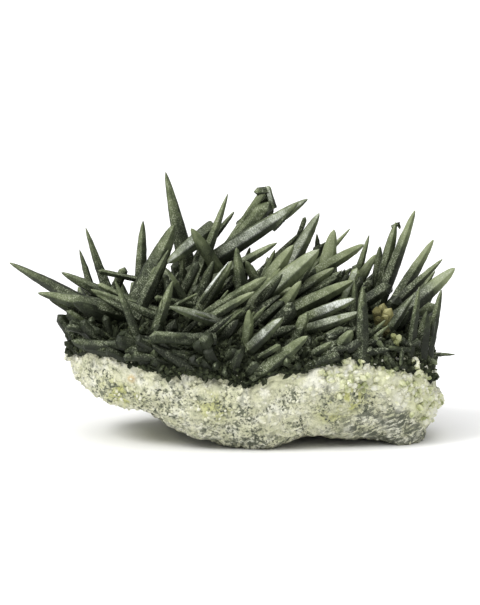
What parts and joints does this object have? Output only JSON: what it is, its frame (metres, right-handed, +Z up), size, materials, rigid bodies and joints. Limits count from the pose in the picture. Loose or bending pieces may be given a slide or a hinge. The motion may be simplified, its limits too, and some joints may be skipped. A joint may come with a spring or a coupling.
{
  "type": "crystal cluster on rock",
  "caption": "Spiky cluster of dark green chlorite-dusted quartz crystals fanning out from a pale speckled rock that rests on small flat spots.",
  "frame": {"origin": "on the resting surface, below the middle of the whole cluster", "axes": "+Z up from the resting surface, X along the long side of the rock, +Y towards the back"},
  "size_m": [0.0892, 0.042, 0.0525],
  "materials": {
    "matrix_rock": "rough, granular, pale with dark specks",
    "main_crystal_thicket": "satin crystal faces under fine chlorite dust",
    "right_crystal_spray": "satin crystal faces under fine chlorite dust",
    "pale_quartz_crust": "milky, slightly glossy grains",
    "tan_crystal_rosette": "satin crystal faces"
  },
  "bodies": {
    "root": {"matrix_rock": "matrix_rock", "main_crystal_thicket": "main_crystal_thicket", "right_crystal_spray": "right_crystal_spray", "pale_quartz_crust": "pale_quartz_crust", "tan_crystal_rosette": "tan_crystal_rosette"}
  },
  "joints": []
}
